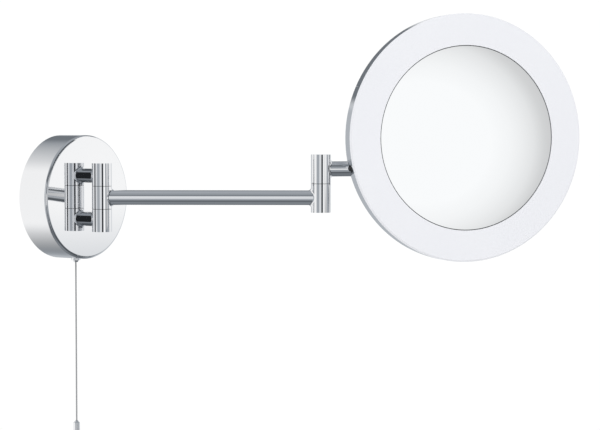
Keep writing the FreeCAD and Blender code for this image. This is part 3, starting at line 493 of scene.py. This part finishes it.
def make_cord():
    """The free cord, from the nipple's mouth straight down into the handle."""
    low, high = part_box("pull_cord")
    x, y = (low.x + high.x) / 2, (low.y + high.y) / 2
    third = (high.z - low.z) / 3
    route = [(x, y, high.z), (x, y, high.z - third), (x, y, low.z + third), (x, y, low.z)]
    curve = bpy.data.curves.new("free_cord", "CURVE")
    curve.dimensions = "3D"
    curve.bevel_depth = CORD_DIAMETER / 2
    curve.bevel_resolution = CORD_RESOLUTION
    curve.use_fill_caps = True
    spline = curve.splines.new("NURBS")
    spline.points.add(len(route) - 1)
    for point, place in zip(spline.points, route):
        point.co = (*place, 1)
    spline.order_u = 3
    spline.use_endpoint_u = True
    curve.materials.append(looks["cord"].material)
    cord = add_object("free_cord", curve)
    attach(cord, "pull")
    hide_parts("pull_cord")


make_cord()


# ---------------------------------------------------------------- studio

def math_node(tree, operation, *inputs):
    made = tree.nodes.new("ShaderNodeMath")
    made.operation = operation
    for socket, value in zip(made.inputs, inputs):
        plug(tree, socket, value)
    return made.outputs[0]


def fade(tree, value, at, softness, before, after):
    """One number below the bound and the other above it, changing smoothly across the bound."""
    made = tree.nodes.new("ShaderNodeMapRange")
    made.interpolation_type = "SMOOTHSTEP"
    tree.links.new(value, made.inputs["Value"])
    made.inputs["From Min"].default_value = at - softness / 2
    made.inputs["From Max"].default_value = at + softness / 2
    made.inputs["To Min"].default_value = before
    made.inputs["To Max"].default_value = after
    return made.outputs["Result"]


def panel_mask(tree, value, low, high):
    """1 between the two bounds, fading to 0 over the softness of each."""
    rise = fade(tree, value, *low, 0, 1)
    fall = fade(tree, value, *high, 1, 0)
    return math_node(tree, "MULTIPLY", rise, fall)


def grey(level):
    return (level, level, level, 1)


def cool(level):
    """Studio greys are a little blue, and whites neutral."""
    tint = GREY_TINT * max(0.0, 1 - level)
    return (level * (1 - tint), level, level * (1 + BLUE_SHARE * tint), 1)


# The Mix node has sockets for every kind of value; these are the ones for colours
MIX_INPUTS = (0, 6, 7)
MIX_OUTPUT = 2


def mix_colour(tree, share, first, second):
    made = tree.nodes.new("ShaderNodeMix")
    made.data_type = "RGBA"
    for socket, value in zip([made.inputs[number] for number in MIX_INPUTS], (share, first, second)):
        plug(tree, socket, value)
    return made.outputs[MIX_OUTPUT]


def make_world():
    """White to the camera, an even soft light for matt surfaces, and the studio's panels for chrome."""
    world = bpy.data.worlds.new("studio")
    bpy.context.scene.world = world
    world.use_nodes = True
    tree = world.node_tree
    place = tree.nodes.new("ShaderNodeTexCoord").outputs["Generated"]
    turn = tree.nodes.new("ShaderNodeVectorRotate")
    turn.rotation_type = "Z_AXIS"
    tree.links.new(place, turn.inputs["Vector"])
    toward = direction_to_camera()
    turn.inputs["Angle"].default_value = -math.atan2(toward.y, toward.x)
    split = tree.nodes.new("ShaderNodeSeparateXYZ")
    tree.links.new(turn.outputs["Vector"], split.inputs[0])
    azimuth = math_node(tree, "DEGREES", math_node(tree, "ARCTAN2", split.outputs["Y"], split.outputs["X"]))
    elevation = math_node(tree, "DEGREES", math_node(tree, "ARCSINE", split.outputs["Z"]))

    ramp = tree.nodes.new("ShaderNodeValToRGB")
    height = math_node(tree, "DIVIDE", math_node(tree, "ADD", elevation, 90.0), 180.0)
    tree.links.new(height, ramp.inputs["Fac"])
    fill_ramp(ramp, [((angle + 90) / 180, cool(level)) for angle, level in SURROUND])
    seen = ramp.outputs["Color"]
    for _, left, right, lower, upper, level in STUDIO:
        wide = panel_mask(tree, azimuth, left, right)
        tall = panel_mask(tree, elevation, lower, upper)
        seen = mix_colour(tree, math_node(tree, "MULTIPLY", wide, tall), seen, cool(level))

    path = tree.nodes.new("ShaderNodeLightPath")
    lit = mix_colour(tree, path.outputs["Is Glossy Ray"], grey(EVEN_LIGHT), seen)
    shown = mix_colour(tree, path.outputs["Is Camera Ray"], lit, grey(BACKDROP))
    tree.links.new(shown, tree.nodes["Background"].inputs["Color"])


def make_floor():
    """A pale floor well below the handle, which the chrome doesn't reflect."""
    middle = (cad_box[0] + cad_box[1]) / 2
    rim = []
    for step in range(FLOOR_SIDES):
        turn = 2 * math.pi * step / FLOOR_SIDES
        rim.append((FLOOR_RADIUS * math.cos(turn), FLOOR_RADIUS * math.sin(turn), 0))
    mesh = bpy.data.meshes.new("pale_floor")
    mesh.from_pydata(rim, [], [tuple(range(FLOOR_SIDES))])
    look = Look("pale_floor", (0.88, 0.88, 0.88), roughness=0.8)
    look.set("Specular IOR Level", 0.0)
    length = look.node("ShaderNodeVectorMath", operation="LENGTH")
    look.link(look.place, length.inputs[0])
    start, end = FLOOR_RADIUS * FLOOR_FADE_START, FLOOR_RADIUS * FLOOR_FADE_END
    faded = look.spread(length.outputs["Value"], 0.0, 1.0, start, end)
    grain = look.shades(look.noise(3), (0.3, (0.87, 0.87, 0.87)), (0.7, (0.89, 0.89, 0.89)))
    look.into("Base Color", mix_colour(look.tree, faded, grain, grey(0)))
    look.into("Emission Color", mix_colour(look.tree, faded, grey(0), grey(BACKDROP)))
    look.set("Emission Strength", 1.0)
    mesh.materials.append(look.material)
    floor = add_object("pale_floor", mesh)
    floor.location = (middle.x, middle.y, cad_box[0].z - FLOOR_DROP)
    floor.visible_glossy = False


def make_mirror_card():
    """A white card where the mirror looks from the photograph's side. The camera doesn't see it."""
    glass = centre("mirror_glass")
    facing = head_facing()
    toward = direction_to_camera()
    out = (2 * toward.dot(facing) * facing - toward).normalized()
    side = out.cross(Vector((0, 0, 1))).normalized()
    up = side.cross(out)
    at = glass + out * CARD_DISTANCE
    half = CARD_SIZE / 2
    mesh = bpy.data.meshes.new("mirror_card")
    corners = [at + side * half * a + up * half * b for a, b in ((-1, -1), (1, -1), (1, 1), (-1, 1))]
    mesh.from_pydata([tuple(c) for c in corners], [], [(0, 1, 2, 3)])
    mesh.uv_layers.new(name="UVMap")
    for loop, uv in zip(mesh.uv_layers[0].data, ((0, 0), (1, 0), (1, 1), (0, 1))):
        loop.uv = uv
    look = Look("card", (0, 0, 0), roughness=1.0)
    uv = look.node("ShaderNodeUVMap").outputs["UV"]
    away = look.node("ShaderNodeVectorMath", operation="DISTANCE")
    look.link(uv, away.inputs[0])
    away.inputs[1].default_value = (*CARD_SPOT, 0)
    less, more = 1 - CARD_TINT, 1 + CARD_TINT
    stops = [(distance, (level * less, level, level * more)) for distance, level in CARD_FALL]
    look.into("Emission Color", look.shades(away.outputs["Value"], *stops))
    look.set("Emission Strength", CARD_GLOW)
    mesh.materials.append(look.material)
    card = add_object("mirror_card", mesh)
    card.visible_camera = False
    card.visible_diffuse = False
    card.visible_shadow = False


def make_lights():
    middle = (cad_box[0] + cad_box[1]) / 2
    for name, place, power in LAMPS:
        data = bpy.data.lights.new(name, "AREA")
        data.size = LAMP_SIZE
        data.energy = power
        lamp = add_object(name, data)
        lamp.location = place
        lamp.rotation_mode = "QUATERNION"
        lamp.rotation_quaternion = (middle - Vector(place)).to_track_quat("-Z", "Y")
        lamp.visible_glossy = False
        lamp.visible_camera = False


make_world()
make_floor()
make_mirror_card()
make_lights()
bpy.context.scene.view_settings.view_transform = "Standard"
